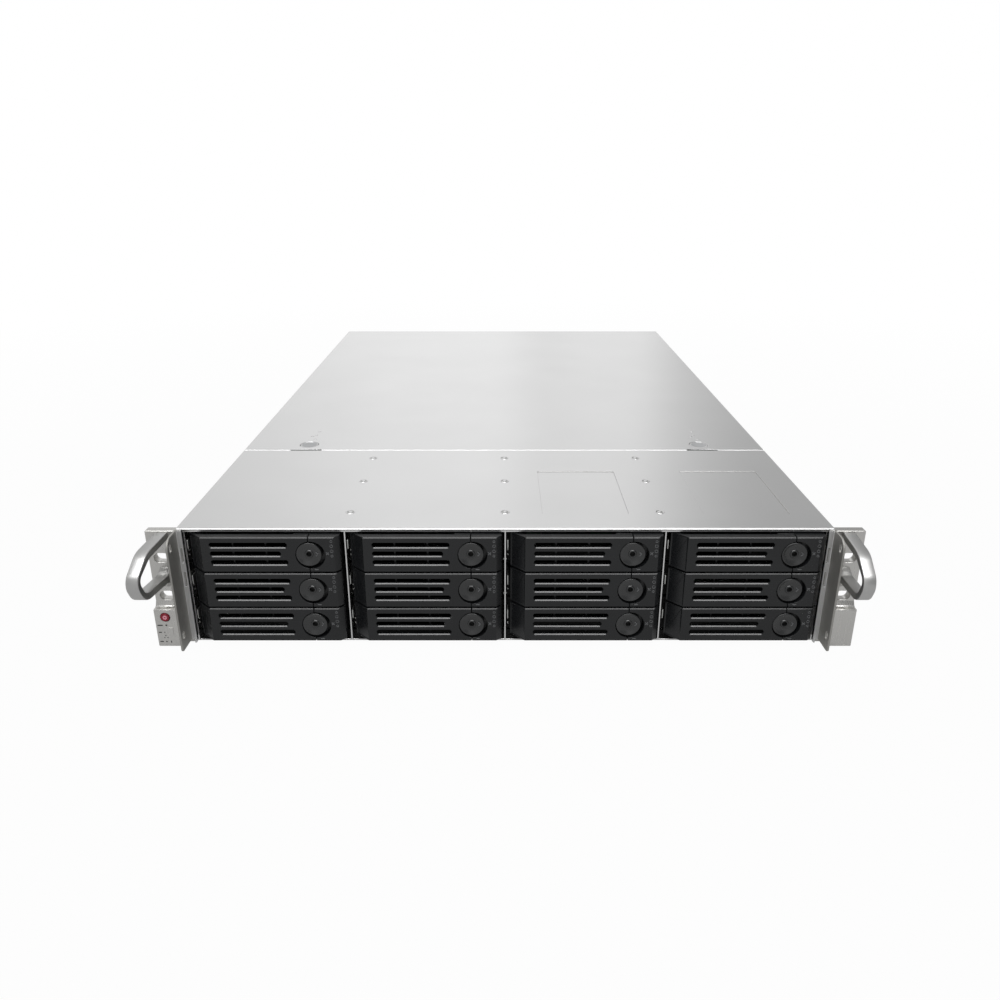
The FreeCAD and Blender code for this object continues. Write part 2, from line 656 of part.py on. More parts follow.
def bracket():
    """Plate that stands forward beside the bays, with a folded strip against the chassis front."""
    outer = body_half + BRACKET_OFFSET
    inner = outer - BRACKET_SHEET
    top = height - BRACKET_TOP_DROP
    strip_left = bay_half + SEAT_GAP
    plate = along_x([(0, BRACKET_BOTTOM, 0), (-BRACKET_REACH, BRACKET_BOTTOM, BRACKET_TOE),
                     (-BRACKET_REACH, top, BRACKET_CORNER), (0, top, 0)], inner, outer)
    strip = box(strip_left, outer, -BRACKET_SHEET, 0, BRACKET_BOTTOM, top)
    cuts = []
    hole_y = BRACKET_HOLE_INSET - BRACKET_REACH
    half = BRACKET_HOLE_LENGTH / 2
    for rise in (BRACKET_HOLE_LOW, BRACKET_HOLE_LOW + BRACKET_HOLE_PITCH):
        z = BRACKET_BOTTOM + rise
        cuts.append(along_x(cut_corners(hole_y - BRACKET_HOLE_R, hole_y + BRACKET_HOLE_R, z - half, z + half,
                                        BRACKET_HOLE_CORNER), inner, outer))
    slot_left = (strip_left + inner - STRIP_SLOT) / 2
    for low in STRIP_SLOT_Z:
        cuts.append(box(slot_left, slot_left + STRIP_SLOT, -BRACKET_SHEET, 0, low, low + STRIP_SLOT_LENGTH))
    return join([plate, strip]).cut(Part.makeCompound(cuts))


# Fans
def fan_places():
    return [(i - (FANS - 1) / 2) * FAN_PITCH for i in range(FANS)]


def fan_wall():
    """Sheet across the chassis with square fan frames, each with a motor base and shaft on three struts."""
    half = FAN_SIZE / 2
    base = fan_back - STRUT
    pieces = [box(-wall_in, wall_in, fan_front - SHEET, fan_front, SHEET, rest_top)]
    bores = []
    inside = []
    for x in fan_places():
        pieces.append(box(x - half, x + half, fan_front, fan_back, fan_z - half, fan_z + half))
        bores.append(along_y(ring(x, fan_z, fan_bore_r), fan_front - SHEET, fan_back))
        inside.append(along_y(ring(x, fan_z, FAN_HUB_R), base, fan_back))
        inside.append(rod(FAN_SHAFT_R, V(x, fan_front + STRUT, fan_z), V(x, base, fan_z)))
        for turn in (90, 210, 330):
            strut = box(0, half, base, fan_back, -STRUT / 2, STRUT / 2)
            strut.rotate(V(0, 0, 0), V(0, 1, 0), turn)
            inside.append(strut.translated(V(x, 0, fan_z)))
    return join([join(pieces).cut(Part.makeCompound(bores))] + inside)


def fan_rotor(x):
    """Hub with slanted blades, running on the motor's shaft."""
    front = fan_front + STRUT
    back = fan_back - STRUT - SEAT_GAP
    tip = fan_bore_r - FAN_TIP_GAP
    pieces = [along_y(ring(0, 0, FAN_HUB_R), front, back)]
    for i in range(FAN_BLADES):
        blade = box(FAN_HUB_R - BLADE_ROOT, tip, -BLADE_CHORD / 2, BLADE_CHORD / 2, -BLADE_THICK / 2,
                    BLADE_THICK / 2)
        blade.rotate(V(0, 0, 0), V(1, 0, 0), BLADE_PITCH)
        blade.translate(V(0, (front + back) / 2, 0))
        blade.rotate(V(0, 0, 0), V(0, 1, 0), 360 * i / FAN_BLADES)
        pieces.append(blade)
    bore = along_y(round_hole(0, 0, FAN_SHAFT_R + PIN_CLEAR), front, back)
    return join(pieces).cut(bore).translated(V(x, 0, fan_z))


# Rear
def rear_panel():
    """Panel with vents and port cut-outs, and the two-storey bay that guides the power supplies."""
    front = depth - SHEET
    panel = box(-wall_in, wall_in, front, depth, SHEET, rest_top)
    bay_left = psu_left - SEAT_GAP
    bay_front = psu_face - PSU_LENGTH
    partition = box(bay_left - SHEET, bay_left, bay_front, front, SHEET, rest_top)
    shelf = box(bay_left, wall_in, bay_front, front, shelf_z, shelf_z + SHEET)
    cuts = []
    for low in psu_floor:
        cuts.append(box(bay_left, psu_right + SEAT_GAP, front, depth, low - SEAT_GAP,
                        low + PSU_HEIGHT + SEAT_GAP))
    for i in range(PANEL_VENTS):
        left = PANEL_VENT_LEFT + i * PANEL_VENT_PITCH
        cuts.append(box(left, left + PANEL_VENT_WIDTH, front, depth, PANEL_VENT_Z,
                        PANEL_VENT_Z + PANEL_VENT_HEIGHT))
    port_z = SHEET + STANDOFF + BOARD_THICK
    for i in range(PORTS):
        left = PORT_LEFT + i * PORT_PITCH
        cuts.append(box(left - PORT_GAP, left + PORT_WIDTH + PORT_GAP, front, depth, port_z - PORT_GAP,
                        port_z + PORT_HEIGHT + PORT_GAP))
    return join([panel.cut(Part.makeCompound(cuts)), partition, shelf])


def expander_board():
    """Board on hexagonal standoffs with a finned heat sink and the external ports at its rear edge."""
    back = depth - SHEET - SEAT_GAP
    front = back - BOARD_LENGTH
    left = PORT_LEFT - BOARD_MARGIN
    right = PORT_LEFT + (PORTS - 1) * PORT_PITCH + PORT_WIDTH + BOARD_MARGIN
    low = SHEET + STANDOFF
    top = low + BOARD_THICK
    pieces = [box(left, right, front, back, low, top)]
    for x in (left + 2 * STANDOFF_R, right - 2 * STANDOFF_R):
        for y in (front + 2 * STANDOFF_R, back - 2 * STANDOFF_R):
            pieces.append(along_z(regular(x, y, STANDOFF_R, 6), SHEET, low))
    sink_x = (left + right - SINK_SIZE) / 2
    sink_y = (front + back - SINK_SIZE) / 2
    pieces.append(box(sink_x, sink_x + SINK_SIZE, sink_y, sink_y + SINK_SIZE, top, top + 2 * SINK_FIN))
    for i in range(SINK_FINS):
        x = sink_x + i * (SINK_SIZE - SINK_FIN) / (SINK_FINS - 1)
        pieces.append(box(x, x + SINK_FIN, sink_y, sink_y + SINK_SIZE, top, top + SINK_HEIGHT))
    for i in range(PORTS):
        x = PORT_LEFT + i * PORT_PITCH
        port = box(x, x + PORT_WIDTH, depth - PORT_LENGTH, depth, top, top + PORT_HEIGHT)
        socket = box(x + PORT_WALL, x + PORT_WIDTH - PORT_WALL, depth - PORT_LENGTH / 2, depth,
                     top + PORT_WALL, top + PORT_HEIGHT - PORT_WALL)
        pieces.append(port.cut(socket))
    return join(pieces)


def psu(low):
    """Module open at its inner end, with an inlet, a fan grille, a grip and the guides of its catch."""
    front = psu_face - PSU_LENGTH
    top = low + PSU_HEIGHT
    shell = box(psu_left, psu_right, front, psu_face, low, top)
    inside = box(psu_left + PSU_WALL, psu_right - PSU_WALL, front, psu_face - PSU_WALL, low + PSU_WALL,
                 top - PSU_WALL)
    inlet_x = psu_right - PSU_WALL - INLET_WIDTH
    inlet_z = low + 2 * PSU_WALL
    cup = box(inlet_x - PSU_WALL, psu_right - PSU_WALL, psu_face - INLET_DEPTH, psu_face, low,
              inlet_z + INLET_HEIGHT)
    mouth = box(inlet_x, inlet_x + INLET_WIDTH - PSU_WALL, psu_face - INLET_DEPTH + PSU_WALL, psu_face,
                inlet_z, inlet_z + INLET_HEIGHT - PSU_WALL)
    prong_z = inlet_z + PRONG_RISE
    prongs = [box(x - PRONG_WIDTH / 2, x + PRONG_WIDTH / 2, psu_face - INLET_DEPTH, psu_face - PSU_WALL,
                  prong_z, prong_z + PRONG_HEIGHT)
              for x in (inlet_x + share * INLET_WIDTH / 4 for share in (1, 2, 3))]
    grille_x = psu_left + GRILLE_R + 3 * PSU_WALL
    grille_z = low + PSU_HEIGHT / 2
    slots = []
    for i in (-2, -1, 0, 1, 2):
        z = grille_z + 2 * i * GRILLE_SLOT
        half = math.sqrt(GRILLE_R ** 2 - (2 * i * GRILLE_SLOT) ** 2)
        slots.append(box(grille_x - half, grille_x + half, psu_face - PSU_WALL, psu_face, z - GRILLE_SLOT / 2,
                         z + GRILLE_SLOT / 2))
    body = join([shell.cut(inside), cup]).cut(mouth).cut(Part.makeCompound(slots))
    grip_x = grip_left()
    edge = psu_face + GRIP_REACH
    grip = box(grip_x, grip_x + GRIP_WIDTH, psu_face, edge, low + GRIP_BAND, top - GRIP_BAND)
    gap = box(grip_x, grip_x + GRIP_WIDTH, psu_face, edge - GRIP_BAND, low + 2 * GRIP_BAND,
              top - 2 * GRIP_BAND)
    catch_z = catch_bottom(low)
    guides = [box(catch_left(), catch_left() + GUIDE_LENGTH, psu_face, psu_face + GUIDE_REACH, z, z + GUIDE)
              for z in (catch_z - SEAT_GAP - GUIDE, catch_z + CATCH_HEIGHT + SEAT_GAP)]
    return join([body, grip.cut(gap)] + guides + prongs)


def grip_left():
    return psu_left + 2 * GRILLE_R + 5 * PSU_WALL


def catch_left():
    return psu_right - PSU_WALL - GUIDE_LENGTH


def catch_bottom(low):
    return low + 3 * PSU_WALL + INLET_HEIGHT + GUIDE + SEAT_GAP


def psu_latch(low):
    """Thumb catch that slides sideways between the guides on the module's face."""
    right = catch_left() + GUIDE_LENGTH
    bottom = catch_bottom(low)
    plate = box(right - 2 * CATCH_WIDTH, right, psu_face + SEAT_GAP, psu_face + GUIDE_REACH, bottom,
                bottom + CATCH_HEIGHT)
    tab = box(right - CATCH_TAB, right, psu_face + SEAT_GAP, psu_face + CATCH_REACH, bottom,
              bottom + CATCH_HEIGHT)
    return join([plate, tab])


def fasteners():
    """Heads of the rivets that hold the front cover to the dividers."""
    return Part.makeCompound([along_z(ring(x, y, RIVET_R), height, height + RIVET_HEAD)
                              for x in divider_places() for y in RIVET_Y])


def in_bay(shape, column, row):
    return shape.translated(V(column_left(column), 0, row_bottom(row)))


def main():
    os.makedirs("parts", exist_ok=True)
    save("chassis_base", chassis_base())
    save("front_cover", front_cover())
    save("rear_cover", rear_cover())
    save("cover_latch_left", cover_latch(-LATCH_X))
    save("cover_latch_right", cover_latch(LATCH_X))
    save("drive_cage", drive_cage())
    save("backplane", backplane())
    tray = drive_tray()
    lever = tray_lever()
    button = release_button()
    for row in range(ROWS):
        for column in range(COLUMNS):
            number = "%02d" % (row * COLUMNS + column + 1)
            save("drive_tray_" + number, in_bay(tray, column, row))
            save("tray_lever_" + number, in_bay(lever, column, row))
            save("release_button_" + number, in_bay(button, column, row))
    save("right_ear", ear())
    save("left_ear", left_ear())
    save("right_handle", handle(0.0))
    save("left_handle", mirrored(handle(HANDLE_LEAN)))
    save("bezel_brackets", Part.makeCompound([bracket(), mirrored(bracket())]))
    save("power_button", power_button())
    save("fan_wall", fan_wall())
    for i, x in enumerate(fan_places()):
        save("fan_rotor_%d" % (i + 1), fan_rotor(x))
    save("rear_panel", rear_panel())
    save("expander_board", expander_board())
    for i, low in enumerate(psu_floor):
        save("psu_%d" % (i + 1), psu(low))
        save("psu_latch_%d" % (i + 1), psu_latch(low))
    save("fasteners", fasteners())


main()
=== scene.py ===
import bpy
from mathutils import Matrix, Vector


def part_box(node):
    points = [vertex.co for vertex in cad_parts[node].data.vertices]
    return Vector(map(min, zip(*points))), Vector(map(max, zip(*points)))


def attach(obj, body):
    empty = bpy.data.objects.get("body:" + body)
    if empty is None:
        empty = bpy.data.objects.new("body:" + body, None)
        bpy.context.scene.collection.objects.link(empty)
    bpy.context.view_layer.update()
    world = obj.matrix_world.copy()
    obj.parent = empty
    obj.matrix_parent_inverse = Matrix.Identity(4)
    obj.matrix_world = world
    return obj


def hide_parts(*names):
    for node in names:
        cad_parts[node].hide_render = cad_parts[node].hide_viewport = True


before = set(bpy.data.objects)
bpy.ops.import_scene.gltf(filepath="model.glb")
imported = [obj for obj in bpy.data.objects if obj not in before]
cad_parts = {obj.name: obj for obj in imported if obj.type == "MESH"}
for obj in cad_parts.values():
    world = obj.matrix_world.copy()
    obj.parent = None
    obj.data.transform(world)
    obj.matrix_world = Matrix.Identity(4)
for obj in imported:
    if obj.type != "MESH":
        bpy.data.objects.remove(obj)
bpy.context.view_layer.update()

import math

import bmesh
import bpy
from mathutils import Matrix, Vector

# A two-unit rack storage unit with twelve black hot-swap trays under a zinc-plated lid.
# Pieces are shaped in millimetres, in the part's own frame, and end up in metres:
# X to the right, Y to the rear from the front edge of the chassis, Z up from its underside.
MM = 0.001
BAYS = ["%02d" % number for number in range(1, 13)]
UP = (0, 0, 1)
FORWARD = (0, -1, 0)
BACK = (0, 1, 0)
MARGIN = Vector((1, 1, 1))    # takes a painted region past the outside of a node
FLAT = math.radians(0.6)      # faces this close to level are one flat area
SHARP = math.radians(40)      # a fold steeper than this is an edge that gets rounded
CREASE = math.radians(50)     # smooth shading stops at a fold steeper than this


# Shading
CLOUD_MM = 70                 # soft patches in a plated or brushed surface
FLOW_MM = 25                  # flow marks in a moulding


def linear(code):
    """sRGB hex digits to the linear colour that a shader takes."""
    parts = [int(code[i:i + 2], 16) / 255 for i in (0, 2, 4)]
    return tuple(c / 12.92 if c <= 0.04045 else ((c + 0.055) / 1.055) ** 2.4
                 for c in parts) + (1.0,)


def add(tree, kind, sockets=None, **settings):
    """One node: settings are its own fields, sockets are values or links by input name or number."""
    node = tree.nodes.new(kind)
    for field, value in settings.items():
        setattr(node, field, value)
    for key, value in (sockets or {}).items():
        if isinstance(value, bpy.types.NodeSocket):
            tree.links.new(value, node.inputs[key])
        else:
            node.inputs[key].default_value = value
    return node


def start_material(name, colour, roughness, metallic=0.0, specular=0.5):
    """A named material with plain values, its node tree, its shader and its object coordinates."""
    material = bpy.data.materials.new(name)
    material.use_nodes = True
    tree = material.node_tree
    shader = tree.nodes["Principled BSDF"]
    shader.inputs["Base Color"].default_value = linear(colour)
    shader.inputs["Roughness"].default_value = roughness
    shader.inputs["Metallic"].default_value = metallic
    shader.inputs["Specular IOR Level"].default_value = specular
    place = add(tree, "ShaderNodeTexCoord").outputs["Object"]
    return material, tree, shader, place


def pattern(tree, shader, tone, dark, light, grain, roughness, swing, depth_mm):
    """One pattern moves the colour between two tones, a finer one the roughness and the surface."""
    mix = add(tree, "ShaderNodeMix", {0: tone, 6: linear(dark), 7: linear(light)}, data_type="RGBA")
    tree.links.new(mix.outputs[2], shader.inputs["Base Color"])
    rough = add(tree, "ShaderNodeMapRange",
                {"Value": grain, "From Min": 0.3, "From Max": 0.7,
                 "To Min": roughness - swing, "To Max": roughness + swing})
    tree.links.new(rough.outputs["Result"], shader.inputs["Roughness"])
    bump = add(tree, "ShaderNodeBump",
               {"Height": grain, "Distance": depth_mm * MM, "Strength": 0.3})
    tree.links.new(bump.outputs["Normal"], shader.inputs["Normal"])


def rolled_metal(name, dark, light, roughness, grain_mm, along, swing=0.05, depth_mm=0.01):
    """Satin metal with a fine grain drawn out along one direction and soft cloudy patches."""
    material, tree, shader, place = start_material(name, light, roughness, 1.0)
    drawn = add(tree, "ShaderNodeMapping", {"Vector": place, "Scale": along})
    grain = add(tree, "ShaderNodeTexNoise",
                {"Vector": drawn.outputs["Vector"], "Scale": 1 / (grain_mm * MM),
                 "Detail": 3.0, "Roughness": 0.6})
    cloud = add(tree, "ShaderNodeTexNoise",
                {"Vector": place, "Scale": 1 / (CLOUD_MM * MM), "Detail": 2.0})
    pattern(tree, shader, cloud.outputs["Fac"], dark, light, grain.outputs["Fac"],
            roughness, swing, depth_mm)
    return material


def moulded_plastic(name, dark, light, roughness, grit_mm, depth_mm, specular=0.5):
    """Moulded plastic: a spark-textured skin with faint flow marks."""
    material, tree, shader, place = start_material(name, light, roughness, 0.0, specular)
    grit = add(tree, "ShaderNodeTexNoise",
               {"Vector": place, "Scale": 1 / (grit_mm * MM), "Detail": 2.0})
    flow = add(tree, "ShaderNodeTexNoise",
               {"Vector": place, "Scale": 1 / (FLOW_MM * MM), "Detail": 2.0})
    pattern(tree, shader, flow.outputs["Fac"], dark, light, grit.outputs["Fac"],
            roughness, 0.07, depth_mm)
    return material


# The finest grains and grits are drawn coarser than the real ones, so that they show in the render.
ALONG_X = (0.05, 1.0, 1.0)    # scales that draw a grain out along one axis
ALONG_Y = (1.0, 0.05, 1.0)

# Zinc plating on rolled sheet: a bright grey satin with a faint rolling grain along the width
ZINC = rolled_metal("zinc_plated_steel", "E0E0E0", "E8E8E8", 0.2, 0.9, ALONG_X, 0.02, 0.003)
# The same plating rubbed by a fold or a press tool: duller, so an edge shows as one even line
RUBBED_ZINC = rolled_metal("zinc_plated_steel_rubbed", "D2D2D2", "DCDCDC", 0.55, 0.9, ALONG_X,
                           0.02, 0.003)
# Die-cast ears, nickel plated: a softer, greyer shine than the sheet, with a grain up the plate
EAR = rolled_metal("nickel_plated_zinc_casting", "C6C5C2", "D6D5D2", 0.3, 0.7, (1.0, 1.0, 0.06))
# Handles of extruded aluminium, brushed: a broad soft shine with faint streaks
HANDLE = rolled_metal("brushed_aluminium", "BABAB9", "CACAC9", 0.4, 0.3, ALONG_X)
# Brackets of bare stainless sheet: darker and dull, with a grain up the plate. The walls of the
# lid's recesses take it too, as painted shade: they are zinc plate, drawn darker as little light
# falls on them
BRACKET_AND_RECESS_SHADE = rolled_metal("brushed_stainless_steel_and_recess_shade", "A3A29E", "B3B2AE", 0.62, 0.5, (1.0, 1.0, 0.04))
# Galvanised steel of supplies, tray rails, springs and screws: duller than the zinc plate.
# The rivets' grooves take it too, as painted shade
GALVANISED_AND_GROOVE_SHADE = rolled_metal("galvanised_steel_and_groove_shade", "B4B5B3", "C6C7C4", 0.4, 1.2, ALONG_Y)
# Milled aluminium of the heat sink, port cages and inlet pins: a plain bright grey
ALUMINIUM = rolled_metal("milled_aluminium", "B9BABA", "CFD0D0", 0.35, 0.6, ALONG_Y)
# Tray fronts of black ABS, spark textured: a soft dark grey sheen
TRAY = moulded_plastic("black_abs_textured", "101112", "191A1C", 0.3, 0.6, 0.006, 0.45)
# The frames behind them and the key holes, from a matt mould: nearly no shine. The black sheet
# below the lowest trays takes it too, as painted shade
MATT = moulded_plastic("black_abs_matt", "121212", "181818", 0.6, 0.6, 0.02, 0.2)
# Release buttons and slot lips of the same resin from a polished mould: a sharper highlight
BUTTON = moulded_plastic("black_abs_polished", "141516", "1B1C1D", 0.25, 0.8, 0.003, 0.8)
# Fan frames, sockets and grips of black PBT: an even dull black
FAN = moulded_plastic("black_pbt", "0F1011", "17181A", 0.5, 0.6, 0.03)
# Latch dishes of grey acetal: a satin shade below the bright rim
ACETAL = moulded_plastic("grey_acetal", "9A9B9C", "A8A9AA", 0.35, 0.8, 0.01)
# Power button cap of red acrylic: glossy, with a paler ring moulded in
RED = moulded_plastic("red_acrylic", "6E0A1E", "8E1029", 0.25, 2.0, 0.005)
PALE_RED = moulded_plastic("pale_red_acrylic", "D58796", "E0A0AC", 0.3, 2.0, 0.005)
# Catches of red brown nylon: a waxy half shine
CATCH = moulded_plastic("red_brown_nylon", "6E1F14", "86281B", 0.45, 0.8, 0.02)
# Boards of glass epoxy under green solder mask: deep green with a lacquer shine
BOARD = moulded_plastic("green_solder_mask", "0B3A20", "10502C", 0.35, 3.0, 0.01)
# Pad-printed marks in dark grey enamel: flat and even
ENAMEL = moulded_plastic("dark_grey_enamel", "2E2E2D", "3B3B3A", 0.5, 0.4, 0.005)
# Raised marks on trays and buttons, moulded in the black around them: painted paler as a painted
# highlight for their sheen
MARK_HIGHLIGHT_GREY = moulded_plastic("pale_grey_painted_highlight", "4E4F50", "5A5B5D", 0.35, 0.4, 0.005)
# Lamp lenses of green polycarbonate: deep and glossy when unlit
LENS = moulded_plastic("green_polycarbonate", "2F6B3C", "3F7F4B", 0.15, 2.0, 0.003)


# Shaping
def corners(node):
    """A node's lowest and highest corners, in millimetres."""
    return [Vector(corner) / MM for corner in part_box(node)]


def front_centre(low, high):
    """The middle of the front of a box."""
    return Vector(((low.x + high.x) / 2, low.y, (low.z + high.z) / 2))


def outward(side):
    """The sign of X on one side of the unit."""
    return -1 if side == "left" else 1


def merged_copy(node):
    """A node's shape as a bmesh in millimetres: corners merged, flat areas joined, curves smooth."""
    bm = bmesh.new()
    bm.from_mesh(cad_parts[node].data)
    bmesh.ops.scale(bm, vec=Vector((1, 1, 1)) / MM, verts=bm.verts)
    bmesh.ops.remove_doubles(bm, verts=bm.verts, dist=0.002)
    bmesh.ops.dissolve_limit(bm, angle_limit=FLAT, verts=bm.verts, edges=bm.edges)
    for face in bm.faces:
        bends = sum(edge.calc_length() for edge in face.edges
                    if FLAT < edge.calc_face_angle(0) < SHARP)
        face.smooth = bends > face.calc_perimeter() / 2
        face.material_index = 0
    return bm


def round_edges(bm, width, segments=2, chosen=None):
    """Round every sharp edge, or those of them that a test chooses, and return the strips made."""
    edges = [edge for edge in bm.edges
             if edge.is_manifold and edge.calc_face_angle(0) > SHARP
             and (chosen is None or chosen(edge))]
    made = bmesh.ops.bevel(bm, geom=edges, offset=width, offset_type="OFFSET", segments=segments,
                           profile=0.5, affect="EDGES", clamp_overlap=False, material=-1)["faces"]
    for face in made:
        longest = max(edge.calc_length() for edge in face.edges)
        if segments > 1 and face.calc_area() < 1.2 * width * longest:
            face.smooth = True
    return made


def at(edge, axis, value):
    """Whether an edge lies wholly at one place along an axis."""
    return all(abs(vert.co[axis] - value) < 0.03 for vert in edge.verts)


def paint(bm, index, low, high):
    """Give the faces whose middles lie between two corners another of the piece's materials."""
    for face in bm.faces:
        middle = face.calc_center_median()
        if all(a < m < b for a, m, b in zip(low, middle, high)):
            face.material_index = index


def paint_strips(strips, index):
    """Give the strips that round_edges made another of the piece's materials."""
    for strip in strips:
        strip.material_index = index


def turned(bm, profile, centre, axis, steps):
    """Spin (radius, height) points about an axis: height runs along it from the centre."""
    axis = Vector(axis)
    across = axis.orthogonal().normalized()
    verts = [bm.verts.new(Vector(centre) + across * radius + axis * height)
             for radius, height in profile]
    edges = [bm.edges.new(pair) for pair in zip(verts, verts[1:])]
    bmesh.ops.spin(bm, geom=verts + edges, cent=centre, axis=axis, angle=math.tau, steps=steps,
                   use_merge=True)
    bmesh.ops.remove_doubles(bm, verts=bm.verts, dist=0.001)
    bmesh.ops.recalc_face_normals(bm, faces=bm.faces)
    for face in bm.faces:
        face.smooth = True


def block(bm, low, high, turn=0.0, rounding=0.0):
    """A block between two corners, turned about the line of sight, with its edges rounded."""
    low, high = Vector(low), Vector(high)
    place = (Matrix.Translation((low + high) / 2) @ Matrix.Rotation(math.radians(turn), 4, "Y")
             @ Matrix.Diagonal((*(high - low), 1.0)))
    verts = bmesh.ops.create_cube(bm, size=1.0, matrix=place)["verts"]
    if rounding:
        edges = {edge for vert in verts for edge in vert.link_edges}
        bmesh.ops.bevel(bm, geom=list(edges), offset=rounding, offset_type="OFFSET", segments=2,
                        profile=0.5, affect="EDGES", material=-1)


def finish_piece(bm, name, body, materials, replaced=()):
    """Turn a shaped bmesh into a piece that rides on a body and stands for the nodes named."""
    mesh = bpy.data.meshes.new(name)
    for material in materials:
        mesh.materials.append(material)
    bmesh.ops.scale(bm, vec=Vector((MM, MM, MM)), verts=bm.verts)
    for edge in bm.edges:
        edge.smooth = edge.calc_face_angle(math.pi) < CREASE
    bm.to_mesh(mesh)
    bm.free()
    if mesh.has_custom_normals:      # those of the node copied no longer fit
        mesh.attributes.remove(mesh.attributes["custom_normal"])
    piece = bpy.data.objects.new(name, mesh)
    bpy.context.collection.objects.link(piece)
    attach(piece, body)
    if replaced:
        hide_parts(*replaced)


def dress(node, body, material, width):
    """A node's own shape with its edges broken as tooling leaves them."""
    bm = merged_copy(node)
    round_edges(bm, width)
    finish_piece(bm, node + "_shape", body, [material], [node])


def turned_heads(name, profile, places, way, steps):
    """Galvanised heads of one profile, on faces of the chassis that look one way."""
    bm = bmesh.new()
    for place in places:
        turned(bm, profile, place, way, steps)
    finish_piece(bm, name, "chassis", [GALVANISED_AND_GROOVE_SHADE])


# Sheet metal
SHEET_EDGE = 0.3              # rounding of a cut edge
CAGE_EDGE = 0.12
PANEL_EDGE = 0.2
HEM_SLOPE = 1.1               # the front cover's folded front edge
JOINT_SLOPE = 1.0             # the rear cover's edge at the joint
RECESS_X = (25.0, 199.0)      # limits just outside the two recesses of the front cover
RECESS_Y = (24.0, 113.0)
RECESS_SLOPE = 0.15
RIVET = [(0, 0.3), (0.9, 0.3), (1.3, 0.24), (1.5, 0.03), (2.5, 0.03), (2.7, 0.2), (2.95, 0.24),
         (3.25, 0.18), (3.4, 0)]
RIVET_R = RIVET[-1][0]
RIVET_MIDDLE_Y = 90.3
DISH_R = 6.45                 # the thumb dish of a latch, inside its rim
DOT = [(0, 0.28), (0.7, 0.26), (1.2, 0.1), (1.4, -0.1)]
DOTS = ((2.0, 15.0), (-2.0, 23.0), (1.0, 27.0), (1.5, 37.0))     # from the middle of a latch
STRIP_X = (1.5, 5.0)          # a bracket's bright strip, from its outer edge
STRIP_Y = (-1.5, 0.5)
PAN_SCREW = [(0, 0.4), (1.2, 0.4), (1.2, 1.2), (2.0, 1.2), (2.4, 0.95), (2.6, 0.5), (2.6, -0.2)]
PAN_SCREW_X = (82.0, -65.0, -211.0)
PAN_SCREW_Z = (6.5, 82.0)
STUD = [(0, 1.7), (3.5, 1.7), (3.9, 1.45), (3.9, 1.0), (3.7, 0.85), (2.2, 0.8), (2.2, -0.3)]
STUD_Y = (110.0, 330.0, 560.0)
STUD_Z = 44.0
# A black sheet below the lowest trays, put in as painted shade
SHADE_SHEET_BOX = ((-215.4, 9.0, 1.1), (215.4, 10.5, 5.4))


def front_cover():
    """Fixed lid: a folded hem that catches the light as one bright line, and recesses whose zinc
    walls are painted darker as painted shade.
    """
    low, high = corners("front_cover")
    bm = merged_copy("front_cover")

    def in_recess(edge):
        return all(RECESS_X[0] < vert.co.x < RECESS_X[1] and RECESS_Y[0] < vert.co.y < RECESS_Y[1]
                   and vert.co.z > high.z - 0.5 for vert in edge.verts)

    strips = round_edges(bm, HEM_SLOPE, 1, lambda edge: at(edge, 1, low.y) and at(edge, 2, high.z))
    strips += round_edges(bm, RECESS_SLOPE, 1,
                          lambda edge: in_recess(edge) and at(edge, 2, high.z))
    paint_strips(strips, 1)
    # Painted shade: the recess walls, zinc like the rest, take the darker bracket steel
    paint(bm, 2, (RECESS_X[0], RECESS_Y[0], high.z - 0.36),
          (RECESS_X[1], RECESS_Y[1], high.z - RECESS_SLOPE))
    round_edges(bm, SHEET_EDGE, 2, lambda edge: not in_recess(edge))
    finish_piece(bm, "front_cover_sheet", "chassis", [ZINC, RUBBED_ZINC, BRACKET_AND_RECESS_SHADE],
                 ["front_cover"])


def rear_cover():
    """Sliding lid: the edge at the joint is broken to a slope that shows as a bright line."""
    low, high = corners("rear_cover")
    bm = merged_copy("rear_cover")
    paint_strips(round_edges(bm, JOINT_SLOPE, 1,
                             lambda edge: at(edge, 1, low.y) and at(edge, 2, high.z)), 1)
    behind = low.y + JOINT_SLOPE + 0.1
    round_edges(bm, SHEET_EDGE, 2, lambda edge: any(vert.co.y > behind for vert in edge.verts))
    finish_piece(bm, "rear_cover_sheet", "top_cover", [ZINC, RUBBED_ZINC],
                 ["rear_cover"])


def rivet_heads():
    """Drawn rivets: a thin flange with a groove round the middle, painted darker as painted shade."""
    low, high = corners("fasteners")
    bm = bmesh.new()
    for x in (low.x + RIVET_R, 0.0, high.x - RIVET_R):
        for y in (low.y + RIVET_R, RIVET_MIDDLE_Y, high.y - RIVET_R):
            turned(bm, RIVET, (x, y, low.z), UP, 24)
    # Painted shade: the groove's faces take the darker galvanised grey
    for face in bm.faces:
        face.material_index = int(face.calc_center_median().z < low.z + 0.05)
    finish_piece(bm, "rivet_heads", "chassis", [ZINC, GALVANISED_AND_GROOVE_SHADE], ["fasteners"])


